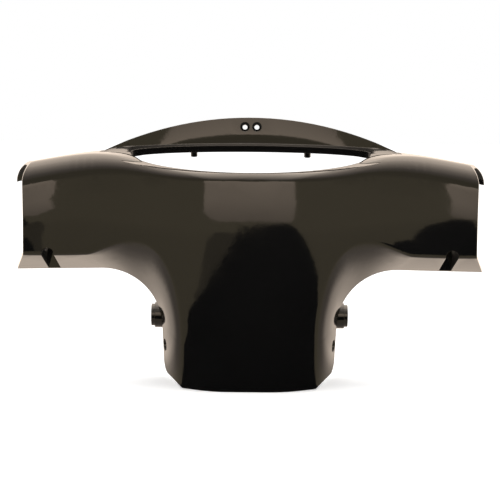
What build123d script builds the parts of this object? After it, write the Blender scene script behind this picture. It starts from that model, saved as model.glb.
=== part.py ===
from build123d import *
from math import atan, cos, hypot, pi, radians, sin, tan
import os

os.makedirs("parts", exist_ok=True)

# Rider-side cover of a scooter handlebar, moulded in one piece.
# Frame: +X to the rider's right, +Y forward, +Z up. The origin lies midway between
# the two arm screws, on the parting plane where the front cover meets this one.
# Sizes are in millimetres and degrees.

# Skin
wall = 2.6                  # thickness of the moulding
crease_round = 5.0          # outer radius where the face turns under
face_height = 20.0          # height where the pod stands nearest the rider
arm_face_height = 45.0      # the same at the grips
face_lean = 8.0             # set back of the face at the height of the rim
neck_lean = 4.0             # set back of the face at the foot of the neck

# Arms
arm_root_depth = 46.0       # face behind the parting plane, before sweep and pod
arm_sweep = 12.0            # face of each arm turned in towards the rider
sweep_start = 173.0         # distance out where the sweep is half turned
sweep_ease = 37.0           # softness of that turn
arm_top = 93.0              # height of the top before it falls away
arm_fall = 11.9             # fall of the top towards the grip
fall_start = 124.0          # distance out where the top begins to fall
arm_roll = 25.0             # radius of the roll from face to top
lip_roll = 15.0             # radius of the roll from top to back lip
arm_under = -16.7           # back edge of the underside, at the neck corner
arm_droop = 1.0             # fall of the underside towards the grip
arm_flare = 19.0            # slope of the underside from crease to back edge
end_reach = 206.5           # back corner of the open end from the middle
end_sweep = 13.5            # end cut, square to the grip
end_corner = 22.0           # rounded top corner of the end
end_height = 81.5           # top of the end cut

# Pod and neck
pod_bulge = 32.5            # pod behind the arms
pod_reach = 94.0            # half width where the pod has fallen by half
neck_reach = 64.0           # the same at the foot of the neck
crest_roll = 9.5            # radius of the roll below the instrument rim
neck_half_width = 80.5      # back edge of the neck wall, at the arms
neck_draft = 3.0            # the neck narrows downwards
neck_flare = 15.5           # slope of the neck walls from crease to back edge
neck_corner = 53.0          # radius from arm to neck at the back edge
neck_foot = -114.0          # lower edge of the neck at the rider's side
foot_tilt = 4.0             # lower edge rises forward
foot_corner = 12.0          # rounded back corner of the foot

# Scoop between arm and neck, where the wall flares most.
# Its outline is set this far from the parting plane, on the rider's side.
scoop_depth = 100.0
scoop_from = 150.0          # leaves the underside this far out
scoop_start = 21.0          # pull along the underside where it leaves
scoop_top = 81.0            # upper control point from the middle
scoop_rise = 66.0           # rise of that point above the underside
scoop_side = 56.0           # side control point from the middle
scoop_fall = 6.0            # fall of that point below the underside
scoop_end = 54.5            # pull along the neck wall where it joins
scoop_to = -78.5            # height where it joins the neck wall

# Instrument rim
rim_y = -10.0               # line of the rim's ends
rim_height = 88.0           # rim height on that line
rim_tilt = 15.0             # rim rises forward
rim_half_width = 127.0
rim_near = 61.5             # rim from the line of its ends to the rider
rim_far = 23.5              # rim from the line of its ends forward
rim_soft = 3.4              # softened edge of the rim
seat_depth = 1.6            # instrument seat below the rim
opening_half_width = 105.0
opening_near = 58.0
opening_far = 20.0
opening_lip = 6.0           # lip round the opening, below the seat
lip_thickness = 2.2

# Brow
brow_gap = 3.2              # brow face outside the rim
brow_top = 116.2            # height of the brow in the middle
brow_radius = 300.0         # arch of the brow's top edge
brow_span = 19.0            # half angle of the arch, before it runs out
brow_tail = 134.0           # end of the run-out from the middle
brow_tail_height = 84.6
brow_foot = 5.4             # height of the brow's foot above the rim
brow_foot_lean = 32.0       # foot against the rim's own axis
brow_lean = 22.5            # upper brow against the rim's own axis
brow_screw_spacing = 10.6
brow_screw_height = 108.0
brow_screw_hole = 4.4
brow_screw_head = 8.4
brow_screw_sink = 90.0      # angle of the countersink
brow_pad = 5.4              # thickness at the screws

# Arm screws, driven from the rider's side
arm_screw_spacing = 346.0
arm_screw_hole = 4.6
arm_screw_channel = 11.0    # driver channel, open downwards
arm_screw_seat = 3.0

# Neck screws, driven from the sides
neck_screw_y = -7.0
neck_screw_height = -85.0
neck_screw_hole = 4.4
neck_screw_head = 10.8
neck_screw_face = 69.0      # seat from the middle
neck_screw_seat = 3.0

# Side collars on ears ahead of the parting plane
collar_y = 20.0
collar_height = -62.0
collar_outside = 23.0
collar_inside = 13.0
collar_face = 88.5          # end face from the middle
collar_step = 20.0          # diameter of the stepped end
collar_step_length = 3.2
ear_face = 77.0             # outer face of the ear from the middle
ear_thickness = 3.6
ear_root = -8.0             # ear reaches back to here along the wall

# Instrument posts under the rim
post_spacing = 101.0
post_diameter = 6.0
post_hole = 2.6
post_end = 12.5             # end of the post below the rim
post_near = 55.5            # near posts from the line of the rim's ends
post_far = 22.5             # far posts from the line of the rim's ends

# Working allowances for the blanks
blank_foot = -150.0
blank_reach = 216.0
blank_sections = 17
clear = 1.0

rim_plane = Plane(
    origin=(0, rim_y, rim_height),
    x_dir=(1, 0, 0),
    z_dir=(0, -sin(radians(rim_tilt)), cos(radians(rim_tilt))),
)


def hump(x, half_width, power):
    """Smooth hump: one in the middle, half at half_width."""
    return 1 / (1 + (abs(x) / half_width) ** power)


def face_depth(x, z):
    """How far the outer face stands from the parting plane at x, z."""
    rise = min(max(1 - z / neck_foot, 0), 1)
    ease = rise * rise * (3 - 2 * rise)
    half_width = neck_reach + (pod_reach - neck_reach) * ease
    past = abs(x) - sweep_start
    sweep = tan(radians(arm_sweep)) * (hypot(past, sweep_ease) + past) / 2
    depth = arm_root_depth + sweep + pod_bulge * hump(x, half_width, 4)
    level = arm_face_height + (face_height - arm_face_height) * hump(x, 115, 6)
    if z > level:
        return depth - face_lean * ((z - level) / (rim_height - level)) ** 2
    return depth - neck_lean * ((z - level) / (neck_foot - level)) ** 2


def top_height(x):
    """Height of the top on the line of the rim's ends."""
    past = abs(x) - fall_start
    fall = tan(radians(arm_fall)) * (hypot(past, 30) + past) / 2
    return arm_top - fall - (arm_top - rim_height) * hump(x, 115, 6)


def wall_sketch(place, depth, inset):
    """Outline of the flared walls, seen from the rider, at a depth from the parting plane."""
    side = blank_reach + 60
    low = -200
    under = arm_under + depth * tan(radians(arm_flare)) + inset / cos(radians(arm_flare))
    neck = neck_half_width - depth * tan(radians(neck_flare)) - inset / cos(radians(neck_flare))
    droop = tan(radians(arm_droop))
    draft = tan(radians(neck_draft))
    arm_end = (side, under - droop * (side - neck))
    neck_end = (neck - draft * (under - low), low)
    with BuildSketch(Plane.XZ.offset(place)) as walls:
        with BuildLine():
            Polyline((0, 200), (side, 200), arm_end)
            if depth == 0:
                FilletPolyline(arm_end, (neck, under), neck_end, radius=neck_corner + inset)
            else:
                start = (scoop_from, under - droop * (scoop_from - neck))
                stop = (neck - draft * (under - scoop_to), scoop_to)
                Line(arm_end, start)
                Bezier(
                    start,
                    (scoop_from - scoop_start, start[1] + droop * scoop_start),
                    (scoop_top - inset / 2, under + scoop_rise),
                    (scoop_side - inset, under - scoop_fall),
                    (stop[0] + draft * scoop_end, scoop_to + scoop_end),
                    stop,
                )
                Line(stop, neck_end)
            Line(neck_end, (0, low))
            mirror(about=Plane.YZ)
        make_face()
    return walls.sketch


def cover_blank(inset, round_radius):
    """The cover's outside; with an inset, the space inside its skin."""
    with BuildPart() as blank:
        for index in range(blank_sections):
            x = blank_reach * (2 * index / (blank_sections - 1) - 1)
            slope = tan(radians(rim_tilt)) * hump(x, 115, 6)
            turn = (face_depth(x + 1, face_height) - face_depth(x - 1, face_height)) / 2
            skin = inset * hypot(1, turn)
            level = top_height(x) - inset * hypot(1, slope)
            crest = level - slope * (face_depth(x, level) + rim_y)
            depth = face_depth(x, crest) - skin
            crest = level - slope * (depth + rim_y)
            outer_back = top_height(x) - slope * rim_y
            lip = min(lip_roll, 0.4 * depth)
            lip = lip - (lip - wall - 1) * hump(x, 118, 8)
            roll = arm_roll - (arm_roll - crest_roll) * hump(x, 110, 6)
            roll = min(roll, 0.5 * depth)
            shoulder = crest - roll - 12
            with BuildSketch(Plane.YZ.offset(x)):
                with BuildLine():
                    if inset > 0:
                        lip_edge = outer_back - lip / tan(pi / 4 - atan(slope) / 2) - 0.5
                        rolled = FilletPolyline(
                            (clear, blank_foot),
                            (clear, lip_edge),
                            (-inset, lip_edge),
                            (-inset, level - slope * (inset + rim_y)),
                            (-depth, crest),
                            (skin - face_depth(x, shoulder), shoulder),
                            radius=[0, 0, lip - inset, roll - inset],
                        )
                    else:
                        rolled = FilletPolyline(
                            (0, blank_foot),
                            (0, outer_back),
                            (-depth, crest),
                            (-face_depth(x, shoulder), shoulder),
                            radius=[lip, roll],
                        )
                    face = Spline(
                        rolled @ 1,
                        (skin - face_depth(x, 0), 0),
                        (skin - face_depth(x, -50), -50),
                        (skin - face_depth(x, -100), -100),
                        (skin - face_depth(x, blank_foot), blank_foot),
                        tangents=[rolled % 1, (0, -1)],
                    )
                    Line(face @ 1, rolled @ 0)
                make_face()
        loft()

        # Flared walls under the arms, round the corners and down the neck.
        add(wall_sketch(-clear if inset > 0 else 0, 0, inset))
        add(wall_sketch(scoop_depth, scoop_depth, inset))
        loft(ruled=True, mode=Mode.INTERSECT)
        creases = blank.edges().filter_by(
            lambda edge: 40 < abs(edge.center().X) < blank_reach - 5
            and edge.center().Y < -35
            and blank_foot + 5 < edge.center().Z < face_height - 5
        )
        fillet(creases, radius=round_radius)
    return blank.part


def rim_sketch(height, half_width, near, far):
    """Oval of the instrument rim, at a height above the rim plane."""
    with BuildSketch(rim_plane.offset(height)) as oval:
        with BuildLine():
            EllipticalCenterArc((0, 0), half_width, far, 0, arc_size=180)
            EllipticalCenterArc((0, 0), half_width, near, 180, arc_size=180)
        make_face()
    return oval.sketch


outside = cover_blank(0, crease_round)
inside = cover_blank(wall, crease_round - wall)

# Shelf round the opening: its underside runs one wall below the seat.
shelf_under = seat_depth + wall
with BuildPart() as shelf:
    outer_far = rim_far + brow_gap + wall / 2
    add(rim_sketch(0, rim_half_width - clear, rim_near - clear, outer_far))
    add(rim_sketch(-shelf_under, rim_half_width + brow_gap / 2, rim_near + rim_soft / 2, outer_far))
    loft(ruled=True)

with BuildPart() as lip_ring:
    for height in (-seat_depth - 1, -seat_depth - opening_lip):
        add(rim_sketch(
            height,
            opening_half_width + lip_thickness,
            opening_near + lip_thickness,
            opening_far + lip_thickness,
        ))
    loft(ruled=True)

# Sunk seat with a softened edge; on the far side it runs up to the brow.
with BuildPart() as seat_cut:
    for height, grow in ((2.0, 7.0), (0.0, rim_soft), (-0.7 * seat_depth, 0.0), (-seat_depth, -2.5)):
        add(rim_sketch(height, rim_half_width + grow, rim_near + grow, rim_far + brow_gap + clear))
    loft(ruled=True)

with BuildPart() as opening_cut:
    for height in (5, -seat_depth - opening_lip - 30):
        add(rim_sketch(height, opening_half_width, opening_near, opening_far))
    loft(ruled=True)

# Brow: a leaning wall round the far half of the rim, steeper above its foot.
# Its top is arched and runs out into the arms.
lean = tan(radians(brow_lean))
brow_base = rim_far + brow_gap + brow_foot * (tan(radians(brow_foot_lean)) - lean)
with BuildPart() as brow:
    for height in (-shelf_under + 0.3 * wall, brow_foot, 34):
        grow = brow_base + height * lean
        if height < brow_foot:
            grow = rim_far + brow_gap + height * tan(radians(brow_foot_lean))
        reach = rim_half_width + brow_gap
        with BuildSketch(rim_plane.offset(height)):
            with BuildLine():
                outer = EllipticalCenterArc((0, 0), reach + wall, grow + wall, 0, arc_size=180)
                inner = EllipticalCenterArc((0, 0), reach, grow, 0, arc_size=180)
                Line(outer @ 0, inner @ 0)
                Line(outer @ 1, inner @ 1)
            make_face()
    loft(ruled=True)
    with BuildSketch(Plane.XZ.offset(-100)):
        with BuildLine():
            arch = CenterArc((0, brow_top - brow_radius), brow_radius, 90 - brow_span, brow_span)
            tail = Bezier(
                arch @ 0,
                arch @ 0 - 14 * (arch % 0),
                (brow_tail - 18, brow_tail_height + 8.4),
                (brow_tail, brow_tail_height),
            )
            Polyline(tail @ 1, (brow_tail, 0), (0, 0))
            mirror(about=Plane.YZ)
        make_face()
    extrude(amount=150, mode=Mode.INTERSECT)

# The brow's face at the height of its screws, and its slope there.
tilt_sin = sin(radians(rim_tilt))
tilt_cos = cos(radians(rim_tilt))
brow_up = (brow_screw_height - rim_height - brow_base * tilt_sin) / (lean * tilt_sin + tilt_cos)
brow_y = rim_y + (brow_base + brow_up * lean) * tilt_cos - brow_up * tilt_sin
brow_slope = radians(brow_lean - rim_tilt)
brow_plane = Plane(
    origin=(0, brow_y, brow_screw_height),
    x_dir=(1, 0, 0),
    z_dir=(0, -cos(brow_slope), sin(brow_slope)),
)

# Channels for the arm screws, kept within the outside of the cover.
with BuildPart() as screw_ducts:
    with BuildSketch(Plane.XZ):
        with Locations((-arm_screw_spacing / 2, 0), (arm_screw_spacing / 2, 0)):
            Circle(arm_screw_channel / 2 + wall)
            Rectangle(arm_screw_channel + 2 * wall, 40, align=(Align.CENTER, Align.MAX))
    extrude(amount=100)
    add(outside, mode=Mode.INTERSECT)

# Bosses for the neck screws and roots of the collar ears, kept within the outside.
with BuildPart() as neck_bosses:
    for side in (-1, 1):
        with BuildSketch(Plane.YZ.offset(side * (neck_screw_face - neck_screw_seat))):
            with Locations((neck_screw_y, neck_screw_height)):
                Circle(neck_screw_head / 2 + wall)
        extrude(amount=side * 30)
        with BuildSketch(Plane.YZ.offset(side * (ear_face - ear_thickness))):
            with Locations((ear_root, collar_height)):
                Rectangle(-ear_root, collar_outside, align=(Align.MIN, Align.CENTER))
        extrude(amount=side * 30)
    add(outside, mode=Mode.INTERSECT)

with BuildPart() as handlebar_cover:
    add(outside)
    add(inside, mode=Mode.SUBTRACT)

    # Open ends, square to the grips, with a rounded top corner.
    for side in (-1, 1):
        turn_sin = sin(radians(end_sweep))
        turn_cos = cos(radians(end_sweep))
        end_plane = Plane(
            origin=(side * end_reach, 0, 0),
            x_dir=(turn_cos, -side * turn_sin, 0),
            z_dir=(-side * turn_sin, -turn_cos, 0),
        )
        with BuildSketch(end_plane.offset(-30)):
            with BuildLine():
                FilletPolyline(
                    (side * 60, -80),
                    (0, -80),
                    (0, end_height),
                    (-side * (end_corner + 1), end_height),
                    (-side * (end_corner + 1), 140),
                    (side * 60, 140),
                    radius=[0, 0, end_corner, 0, 0, 0],
                    close=True,
                )
            make_face()
        extrude(amount=150, mode=Mode.SUBTRACT)

    # Open foot of the neck, with a rounded back corner.
    foot_rise = tan(radians(foot_tilt))
    foot_back = neck_foot + foot_rise * face_depth(0, neck_foot)
    with BuildSketch(Plane.YZ.offset(-blank_reach)):
        with BuildLine():
            FilletPolyline(
                (-150, foot_back - 150 * foot_rise),
                (clear / 3, foot_back),
                (clear / 3, foot_back + foot_corner + 5),
                (50, foot_back + foot_corner + 5),
                (50, -250),
                (-150, -250),
                radius=[0, foot_corner, 0, 0, 0, 0],
                close=True,
            )
        make_face()
    extrude(amount=2 * blank_reach, mode=Mode.SUBTRACT)

    # Instrument shelf, brow and opening.
    add(shelf.part)
    add(seat_cut.part, mode=Mode.SUBTRACT)
    add(lip_ring.part)
    add(brow.part)

    # Posts under the shelf, with blind holes for the instrument's screws.
    post_x = post_spacing / 2
    post_spots = [
        (-post_x, post_far),
        (post_x, post_far),
        (-post_x, -post_near),
        (post_x, -post_near),
    ]
    with BuildSketch(rim_plane.offset(-post_end)):
        with Locations(*post_spots):
            Circle(post_diameter / 2)
    extrude(amount=post_end - shelf_under + 1)
    with BuildSketch(rim_plane.offset(-post_end)):
        with Locations(*post_spots):
            Circle(post_hole / 2)
    extrude(amount=post_end - shelf_under, mode=Mode.SUBTRACT)
    add(opening_cut.part, mode=Mode.SUBTRACT)

    # Brow screws: a pad ahead of the brow, countersunk from the rider's side.
    with BuildSketch(brow_plane.offset(-brow_pad)):
        SlotCenterToCenter(brow_screw_spacing, brow_screw_head + 2 * wall)
    extrude(amount=brow_pad - wall / 2)
    sink_clear = clear / 4
    sink_radius = brow_screw_head / 2 + sink_clear * tan(radians(brow_screw_sink / 2))
    with Locations(brow_plane.offset(sink_clear)):
        with Locations((-brow_screw_spacing / 2, 0), (brow_screw_spacing / 2, 0)):
            CounterSinkHole(brow_screw_hole / 2, sink_radius, 30, brow_screw_sink)

    # Arm screws: driver channel up to the seat on the parting plane.
    add(screw_ducts.part)
    with BuildSketch(Plane.XZ.offset(arm_screw_seat)):
        with Locations((-arm_screw_spacing / 2, 0), (arm_screw_spacing / 2, 0)):
            Circle(arm_screw_channel / 2)
            Rectangle(arm_screw_channel, 40, align=(Align.CENTER, Align.MAX))
    extrude(amount=100, mode=Mode.SUBTRACT)
    with BuildSketch(Plane.XZ.offset(-clear)):
        with Locations((-arm_screw_spacing / 2, 0), (arm_screw_spacing / 2, 0)):
            Circle(arm_screw_hole / 2)
    extrude(amount=clear + arm_screw_seat + clear, mode=Mode.SUBTRACT)

    # Neck screws and the stepped collars on their ears.
    add(neck_bosses.part)
    for side in (-1, 1):
        with BuildSketch(Plane.YZ.offset(side * neck_screw_face)):
            with Locations((neck_screw_y, neck_screw_height)):
                Circle(neck_screw_head / 2)
        extrude(amount=side * 30, mode=Mode.SUBTRACT)
        with BuildSketch(Plane.YZ.offset(side * (neck_screw_face - neck_screw_seat - clear))):
            with Locations((neck_screw_y, neck_screw_height)):
                Circle(neck_screw_hole / 2)
        extrude(amount=side * 30, mode=Mode.SUBTRACT)

        ear_plane = Plane.YZ.offset(side * (ear_face - ear_thickness))
        with BuildSketch(ear_plane):
            with Locations((0, collar_height)):
                Rectangle(collar_y, collar_outside, align=(Align.MIN, Align.CENTER))
        extrude(amount=side * ear_thickness)
        with BuildSketch(ear_plane):
            with Locations((collar_y, collar_height)):
                Circle(collar_outside / 2)
        extrude(amount=side * (collar_face - collar_step_length - ear_face + ear_thickness))
        with BuildSketch(ear_plane):
            with Locations((collar_y, collar_height)):
                Circle(collar_step / 2)
        extrude(amount=side * (collar_face - ear_face + ear_thickness))
        with BuildSketch(ear_plane.offset(-side * clear)):
            with Locations((collar_y, collar_height)):
                Circle(collar_inside / 2)
        extrude(amount=side * 60, mode=Mode.SUBTRACT)

handlebar_cover.part.label = "handlebar_cover"
export_step(handlebar_cover.part, "parts/handlebar_cover.step")
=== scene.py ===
from math import cos, radians, sin

import bpy
from mathutils import Matrix, Vector


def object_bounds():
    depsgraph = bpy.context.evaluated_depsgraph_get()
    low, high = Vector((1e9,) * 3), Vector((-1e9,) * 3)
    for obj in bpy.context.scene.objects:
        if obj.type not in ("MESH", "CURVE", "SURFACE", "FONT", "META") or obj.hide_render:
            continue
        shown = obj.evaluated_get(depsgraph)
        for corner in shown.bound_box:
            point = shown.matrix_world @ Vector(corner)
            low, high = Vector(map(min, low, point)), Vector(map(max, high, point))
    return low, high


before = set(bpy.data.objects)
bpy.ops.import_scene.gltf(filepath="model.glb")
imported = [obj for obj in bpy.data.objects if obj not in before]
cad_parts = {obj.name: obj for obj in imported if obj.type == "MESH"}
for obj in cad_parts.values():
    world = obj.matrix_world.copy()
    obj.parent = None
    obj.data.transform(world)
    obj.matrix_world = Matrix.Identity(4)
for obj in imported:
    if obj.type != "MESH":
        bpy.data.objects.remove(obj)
cad_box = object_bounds()
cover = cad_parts["handlebar_cover"]
scene = bpy.context.scene
scene.view_settings.view_transform = "Standard"


# Materials

class Shader:
    """A small helper that adds nodes to a material and links them."""

    def __init__(self, name):
        self.material = bpy.data.materials.new(name)
        self.material.use_nodes = True
        self.tree = self.material.node_tree
        self.tree.nodes.clear()

    def add(self, kind, **settings):
        node = self.tree.nodes.new(kind)
        for key, value in settings.items():
            setattr(node, key, value)
        return node

    def link(self, source, target):
        self.tree.links.new(source, target)

    def math(self, operation, first, second, clamp=False):
        node = self.add("ShaderNodeMath", operation=operation, use_clamp=clamp)
        for index, value in enumerate((first, second)):
            if isinstance(value, (int, float)):
                node.inputs[index].default_value = value
            else:
                self.link(value, node.inputs[index])
        return node.outputs[0]

    def noise(self, vector, scale, detail=2.0, roughness=0.5):
        node = self.add("ShaderNodeTexNoise")
        node.inputs["Scale"].default_value = scale
        node.inputs["Detail"].default_value = detail
        node.inputs["Roughness"].default_value = roughness
        self.link(vector, node.inputs["Vector"])
        return node.outputs["Fac"]

    def spread(self, value, low, high, from_low=0.0, from_high=1.0):
        node = self.add("ShaderNodeMapRange")
        node.inputs["From Min"].default_value = from_low
        node.inputs["From Max"].default_value = from_high
        node.inputs["To Min"].default_value = low
        node.inputs["To Max"].default_value = high
        self.link(value, node.inputs["Value"])
        return node.outputs["Result"]

    def mix(self, factor, first, second):
        node = self.add("ShaderNodeMix", data_type="RGBA")
        self.link(factor, node.inputs["Factor"])
        for name, value in (("A", first), ("B", second)):
            socket = [s for s in node.inputs if s.name == name and s.type == "RGBA"][0]
            if isinstance(value, tuple):
                socket.default_value = value
            else:
                self.link(value, socket)
        return [s for s in node.outputs if s.type == "RGBA"][0]


def gloss_black():
    """Black ABS: polished outside with a little orange peel, satin and lightly spark-eroded inside."""
    s = Shader("gloss_black_plastic")
    place = s.add("ShaderNodeTexCoord").outputs["Object"]
    split = s.add("ShaderNodeSeparateXYZ")
    s.link(place, split.inputs[0])
    x, y, z = split.outputs
    facing = s.add("ShaderNodeSeparateXYZ")
    skin = s.add("ShaderNodeNewGeometry")
    s.link(skin.outputs["True Normal"], facing.inputs[0])
    nx, ny, nz = facing.outputs

    # Inside of the moulding: what faces forward, inwards from the walls, down under the top or up from
    # the underside.
    forward = s.math("GREATER_THAN", ny, 0.15)
    inward = s.math("LESS_THAN", s.math("MULTIPLY", nx, s.math("SIGN", x, 0.0)), -0.15)
    inward = s.math("MULTIPLY", inward, s.math("GREATER_THAN", ny, -0.5))
    inward = s.math("MULTIPLY", inward, s.math("GREATER_THAN", nz, -0.6))
    under_top = s.math("MULTIPLY", s.math("LESS_THAN", nz, -0.3), s.math("GREATER_THAN", z, 0.045))
    above_under = s.math("MULTIPLY", s.math("GREATER_THAN", nz, 0.3), s.math("LESS_THAN", z, 0.03))
    inside = s.math("MAXIMUM", s.math("MAXIMUM", forward, inward), s.math("MAXIMUM", under_top, above_under))

    cloud = s.noise(place, 9.0, 3.0)
    fine = s.noise(place, 420.0, 2.0)
    peel = s.noise(place, 260.0, 1.0)
    grain = s.noise(place, 2600.0, 2.0, 0.6)
    streak = s.add("ShaderNodeMapping")
    streak.inputs["Scale"].default_value = (14.0, 60.0, 300.0)
    s.link(place, streak.inputs["Vector"])
    flow = s.noise(streak.outputs[0], 1.0, 4.0, 0.6)

    deep, lifted = (0.0026, 0.0025, 0.0025, 1.0), (0.0040, 0.0038, 0.0037, 1.0)
    outside_colour = s.mix(s.spread(cloud, 0.0, 1.0, 0.3, 0.7), deep, lifted)
    inside_colour = s.mix(fine, (0.010, 0.010, 0.0105, 1.0), (0.017, 0.017, 0.0175, 1.0))
    colour = s.mix(inside, outside_colour, inside_colour)

    polish = s.math("ADD", s.spread(cloud, 0.045, 0.075, 0.3, 0.7), s.spread(flow, 0.0, 0.02, 0.35, 0.75))
    satin = s.spread(fine, 0.34, 0.46, 0.25, 0.75)
    step = s.add("ShaderNodeMix", data_type="FLOAT")
    s.link(inside, step.inputs["Factor"])
    s.link(polish, step.inputs["A"])
    s.link(satin, step.inputs["B"])

    # Beside the neck and in the scooped corner the wall's shading turns softly towards the rider before
    # the crease.
    roll = s.math("POWER", s.spread(y, 1.0, 0.0, -0.060, -0.005), 2.0)
    roll = s.math("MULTIPLY", roll, s.spread(s.math("ABSOLUTE", x, 0.0), 0.55, 0.0, 0.105, 0.130))
    roll = s.math("MULTIPLY", roll, s.spread(z, 1.0, 0.0, 0.015, 0.03))
    roll = s.math("MULTIPLY", roll, s.spread(nz, 0.4, 1.0, -0.6, -0.22))
    roll = s.math("MULTIPLY", roll, s.spread(ny, 0.0, 1.0, -0.9, -0.6))
    roll = s.math("MULTIPLY", roll, s.math("SUBTRACT", 1.0, inside))
    turn = s.add("ShaderNodeCombineXYZ")
    s.link(s.math("MULTIPLY", roll, -1.0), turn.inputs["Y"])
    rolled = s.add("ShaderNodeVectorMath", operation="ADD")
    s.link(skin.outputs["Normal"], rolled.inputs[0])
    s.link(turn.outputs[0], rolled.inputs[1])
    even = s.add("ShaderNodeVectorMath", operation="NORMALIZE")
    s.link(rolled.outputs[0], even.inputs[0])

    edge = s.add("ShaderNodeBevel", samples=4)
    edge.inputs["Radius"].default_value = 0.0007
    s.link(even.outputs[0], edge.inputs["Normal"])
    outer_bump = s.add("ShaderNodeBump")
    outer_bump.inputs["Strength"].default_value = 0.035
    outer_bump.inputs["Distance"].default_value = 0.0004
    s.link(peel, outer_bump.inputs["Height"])
    s.link(edge.outputs[0], outer_bump.inputs["Normal"])
    inner_bump = s.add("ShaderNodeBump")
    inner_bump.inputs["Distance"].default_value = 0.0003
    s.link(s.math("MULTIPLY", inside, 0.35), inner_bump.inputs["Strength"])
    s.link(grain, inner_bump.inputs["Height"])
    s.link(outer_bump.outputs[0], inner_bump.inputs["Normal"])

    surface = s.add("ShaderNodeBsdfPrincipled")
    surface.inputs["IOR"].default_value = 1.5
    s.link(colour, surface.inputs["Base Color"])
    s.link(step.outputs[0], surface.inputs["Roughness"])
    s.link(inner_bump.outputs[0], surface.inputs["Normal"])
    s.link(surface.outputs[0], s.add("ShaderNodeOutputMaterial").inputs["Surface"])
    return s.material


def lit():
    """Light of a card or a softbox, read from the colours of its corners."""
    s = Shader("card_light")
    shade = s.add("ShaderNodeAttribute", attribute_name="shade")
    light = s.add("ShaderNodeEmission")
    s.link(shade.outputs["Color"], light.inputs["Color"])
    s.link(light.outputs[0], s.add("ShaderNodeOutputMaterial").inputs["Surface"])
    return s.material


def pale_floor():
    """White studio floor with a faint, soft unevenness; it looks white to the camera and keeps the shadow."""
    s = Shader("pale_floor")
    place = s.add("ShaderNodeTexCoord").outputs["Object"]
    colour = s.mix(s.noise(place, 3.0, 3.0), (0.93, 0.93, 0.93, 1.0), (0.95, 0.95, 0.95, 1.0))
    surface = s.add("ShaderNodeBsdfPrincipled")
    surface.inputs["Roughness"].default_value = 0.9
    surface.inputs["Specular IOR Level"].default_value = 0.1
    s.link(colour, surface.inputs["Base Color"])
    path = s.add("ShaderNodeLightPath")
    seen = s.math("ADD", path.outputs["Is Camera Ray"], path.outputs["Is Glossy Ray"], clamp=True)
    seen = s.math("ADD", seen, path.outputs["Is Transmission Ray"], clamp=True)
    surface.inputs["Emission Color"].default_value = (1.0, 1.0, 1.0, 1.0)
    s.link(s.math("MULTIPLY", seen, 0.34), surface.inputs["Emission Strength"])
    s.link(surface.outputs[0], s.add("ShaderNodeOutputMaterial").inputs["Surface"])
    return s.material


# The moulding: shading runs smoothly across the faces of the CAD skin and breaks at its real edges.

def smooth_skin(angle):
    group = bpy.data.node_groups.new("smooth_skin", "GeometryNodeTree")
    group.interface.new_socket("Geometry", in_out="INPUT", socket_type="NodeSocketGeometry")
    group.interface.new_socket("Geometry", in_out="OUTPUT", socket_type="NodeSocketGeometry")
    nodes, links = group.nodes, group.links
    start = nodes.new("NodeGroupInput")
    end = nodes.new("NodeGroupOutput")
    plain = nodes.new("GeometryNodeRemoveAttribute")
    plain.inputs["Name"].default_value = "custom_normal"
    weld = nodes.new("GeometryNodeMergeByDistance")
    weld.inputs["Distance"].default_value = 0.00002
    smooth = nodes.new("GeometryNodeSetShadeSmooth")
    smooth.domain = "FACE"
    edge = nodes.new("GeometryNodeInputMeshEdgeAngle")
    sharp = nodes.new("FunctionNodeCompare")
    sharp.operation = "GREATER_THAN"
    sharp.inputs["B"].default_value = radians(angle)
    crisp = nodes.new("GeometryNodeSetShadeSmooth")
    crisp.domain = "EDGE"
    crisp.inputs["Shade Smooth"].default_value = False
    links.new(start.outputs[0], plain.inputs["Geometry"])
    links.new(plain.outputs["Geometry"], weld.inputs["Geometry"])
    links.new(weld.outputs["Geometry"], smooth.inputs["Geometry"])
    links.new(edge.outputs["Unsigned Angle"], sharp.inputs["A"])
    links.new(smooth.outputs["Geometry"], crisp.inputs["Geometry"])
    links.new(sharp.outputs["Result"], crisp.inputs["Selection"])
    links.new(crisp.outputs["Geometry"], end.inputs[0])
    return group


skin = cover.modifiers.new("smooth_skin", "NODES")
skin.node_group = smooth_skin(28.0)
cover.data.materials.clear()
cover.data.materials.append(gloss_black())


# Studio: pale floor, white surroundings, a softbox by the camera and a tent of cards that only reflections see.

def stage_mesh(name, points, faces, material):
    mesh = bpy.data.meshes.new(name)
    mesh.from_pydata(points, [], faces)
    item = bpy.data.objects.new(name, mesh)
    scene.collection.objects.link(item)
    mesh.materials.append(material)
    return item


def reflected_card(name, points, faces, shades):
    item = stage_mesh(name, points, faces, card_light)
    layer = item.data.color_attributes.new("shade", "FLOAT_COLOR", "POINT")
    for index, shade in enumerate(shades):
        layer.data[index].color = tuple(shade) + (1.0,)
    item.visible_camera = False
    item.visible_diffuse = False
    item.visible_shadow = False
    item.visible_transmission = False
    return item


def tinted(strength, tint):
    return tuple(strength * part for part in tint)


def flat_card(name, outline, shade):
    """A flat card of one shade."""
    return reflected_card(name, outline, [tuple(range(len(outline)))], [shade] * len(outline))


def banded_card(name, lines):
    """A card made of bands; each line across it has a left end, a right end and a shade."""
    points = [end for left, right, shade in lines for end in (left, right)]
    shades = [shade for left, right, shade in lines for end in (left, right)]
    faces = [(2 * n, 2 * n + 1, 2 * n + 3, 2 * n + 2) for n in range(len(lines) - 1)]
    return reflected_card(name, points, faces, shades)


gap = 0.0001  # between the foot, the floor and the cards that lie on it
ground = cad_box[0].z - gap
floor_reach = 6.0
floor_corners = [(x * floor_reach, y * floor_reach, ground) for x, y in ((-1, -1), (1, -1), (1, 1), (-1, 1))]
stage_mesh("floor", floor_corners, [(0, 1, 2, 3)], pale_floor())

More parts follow.
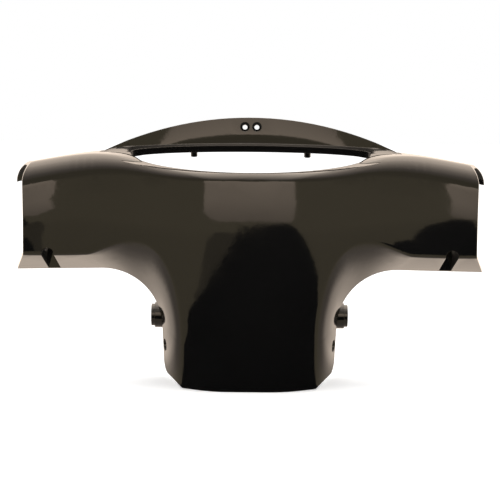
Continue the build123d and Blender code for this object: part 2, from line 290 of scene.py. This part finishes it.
card_light = lit()
amber = (1.0, 0.84, 0.55)
cream = (1.0, 0.84, 0.70)
peach = (1.0, 0.81, 0.63)
warm = (1.0, 0.86, 0.72)
card_black = (0.02, 0.02, 0.02)
card_dim = (0.38, 0.32, 0.22)
low = ground + 2 * gap

# Tent round the part, the same across its whole width: y, z, strength and tint of each line.
tent_reach = 5.0
tent_profile = [
    (0.00, low, 0.55, cream),
    (-0.085, low, 0.68, amber),
    (-2.40, low, 0.80, amber),
    (-2.40, 0.75, 0.80, amber),
    (-2.40, 1.15, 0.58, amber),
    (-2.30, 1.90, 0.55, amber),
    (-1.70, 2.50, 1.00, cream),
    (-0.80, 2.70, 2.20, cream),
    (0.00, 2.80, 3.60, cream),
    (1.00, 2.75, 4.60, cream),
    (2.10, 2.30, 3.40, cream),
    (2.60, 1.60, 2.40, cream),
    (2.60, 0.80, 2.20, cream),
    (2.60, 0.30, 1.60, cream),
    (2.60, low, 1.50, cream),
    (1.40, low, 2.10, cream),
    (0.60, low, 2.00, cream),
    (0.16, low, 1.25, cream),
    (0.09, low, 1.40, cream),
    (0.06, low, 1.10, cream),
    (0.03, low, 0.70, cream),
    (0.00, low, 0.55, cream),
]
banded_card("front_tent", [
    ((-tent_reach, y, z), (tent_reach, y, z), tinted(strength, tint)) for y, z, strength, tint in tent_profile
])

# Dark and dim runners on the floor and the dark card behind the camera: the arch that the neck reflects.
runner = [
    (-0.015, -1.79), (-0.02, -1.50), (-0.03, -1.20), (-0.045, -0.90), (-0.075, -0.77), (-0.12, -0.67),
    (-0.145, -0.50), (-0.163, -0.38), (-0.168, -0.30), (-0.162, -0.24), (-0.146, -0.18), (-0.127, -0.12),
    (-0.10, -0.08), (-0.068, -0.055), (-0.055, -0.03), (-0.05, 0.0), (0.05, 0.0), (0.055, -0.03),
    (0.068, -0.055), (0.095, -0.08), (0.12, -0.11), (0.16, -0.16), (0.22, -0.24), (0.30, -0.46),
    (0.34, -0.68), (0.39, -1.02), (0.43, -1.50), (0.46, -1.79),
]
flat_card("dark_runner", [(x, y, low + 2 * gap) for x, y in runner], card_black)
dark_card_y = -1.75
dark = [
    (-0.015, low), (0.46, low), (0.41, -0.08), (0.35, -0.045), (0.28, -0.015), (0.21, -0.002),
    (0.08, -0.002), (0.02, -0.02), (-0.008, -0.06),
]
flat_card("dark_card", [(x, dark_card_y, z) for x, z in dark], card_black)
dim = [
    (-0.20, -1.79), (-0.235, -1.20), (-0.22, -1.04), (-0.185, -0.70), (-0.18, -0.50), (-0.185, -0.38),
    (0.0, -0.38), (0.1, -0.50), (0.1, -1.79),
]
flat_card("dim_runner", [(x, y, low + gap) for x, y in dim], card_dim)

# Softbox behind the camera: left, right, height and strength of each line.
softbox_y = -1.70
softbox_rows = [
    (-0.18, 0.29, 0.02, 1.45),
    (-0.28, 0.33, 0.06, 1.5),
    (-0.38, 0.35, 0.15, 1.7),
    (-0.38, 0.36, 0.35, 2.1),
    (-0.38, 0.36, 0.80, 3.0),
]
banded_card("softbox", [
    ((left, softbox_y, z), (right, softbox_y, z), tinted(strength, peach))
    for left, right, z, strength in softbox_rows
])

# Strip above the instrument rim: y, strength in its middle, strength at its sides.
strip_height = 0.55
strip_half_width = 0.17
strip_half_middle = 0.10
strip_rows = [
    (-0.75, 0.7, 0.6),
    (-0.55, 1.4, 0.8),
    (-0.36, 3.0, 1.6),
    (-0.10, 5.5, 3.2),
    (0.25, 5.5, 3.8),
    (0.45, 4.0, 4.0),
]
strip_points, strip_shades, strip_faces = [], [], []
for y, middle, sides in strip_rows:
    for x, strength in (
        (-strip_half_width, sides),
        (-strip_half_middle, middle),
        (strip_half_middle, middle),
        (strip_half_width, sides),
    ):
        strip_points.append((x, y, strip_height))
        strip_shades.append(tinted(strength, warm))
for row in range(len(strip_rows) - 1):
    for column in range(3):
        corner = 4 * row + column
        strip_faces.append((corner, corner + 1, corner + 5, corner + 4))
reflected_card("rim_strip", strip_points, strip_faces, strip_shades)

lamp = bpy.data.lights.new("overhead", "AREA")
lamp.shape = "RECTANGLE"
lamp.size = 2.4
lamp.size_y = 2.0
lamp.energy = 26.0
lamp.color = (1.0, 0.99, 0.97)
overhead = bpy.data.objects.new("overhead", lamp)
overhead.location = (0.0, 0.1, 2.2)
overhead.visible_glossy = False
scene.collection.objects.link(overhead)

world = bpy.data.worlds.new("studio_world")
scene.world = world
world.use_nodes = True
sky = world.node_tree
sky.nodes.clear()
path = sky.nodes.new("ShaderNodeLightPath")
seen = sky.nodes.new("ShaderNodeMath")
seen.operation = "ADD"
seen.use_clamp = True
also = sky.nodes.new("ShaderNodeMath")
also.operation = "ADD"
also.use_clamp = True
white = sky.nodes.new("ShaderNodeBackground")
white.inputs["Color"].default_value = (1.0, 1.0, 1.0, 1.0)
fill = sky.nodes.new("ShaderNodeBackground")
fill.inputs["Color"].default_value = (1.0, 1.0, 1.0, 1.0)
fill.inputs["Strength"].default_value = 0.95
choose = sky.nodes.new("ShaderNodeMixShader")
out = sky.nodes.new("ShaderNodeOutputWorld")
sky.links.new(path.outputs["Is Camera Ray"], seen.inputs[0])
sky.links.new(path.outputs["Is Glossy Ray"], seen.inputs[1])
sky.links.new(seen.outputs[0], also.inputs[0])
sky.links.new(path.outputs["Is Transmission Ray"], also.inputs[1])
sky.links.new(also.outputs[0], choose.inputs["Fac"])
sky.links.new(fill.outputs[0], choose.inputs[1])
sky.links.new(white.outputs[0], choose.inputs[2])
sky.links.new(choose.outputs[0], out.inputs["Surface"])


# Camera at the photograph's angle

look = Vector((0.0, -0.05, 0.0047))
height = radians(6.0)
distance = 1.3
camera_data = bpy.data.cameras.new("camera")
camera_data.sensor_width = 36.0
camera_data.lens = 109.5
camera = bpy.data.objects.new("camera", camera_data)
scene.collection.objects.link(camera)
away = Vector((0.0, -cos(height), sin(height)))
camera.location = look + away * distance
tilt = away.to_track_quat("Z", "Y").to_matrix().to_4x4()
camera.matrix_world = Matrix.Translation(camera.location) @ tilt @ Matrix.Rotation(radians(0.45), 4, "Z")
camera_data.clip_start = 0.05
camera_data.clip_end = 50.0
scene.camera = camera
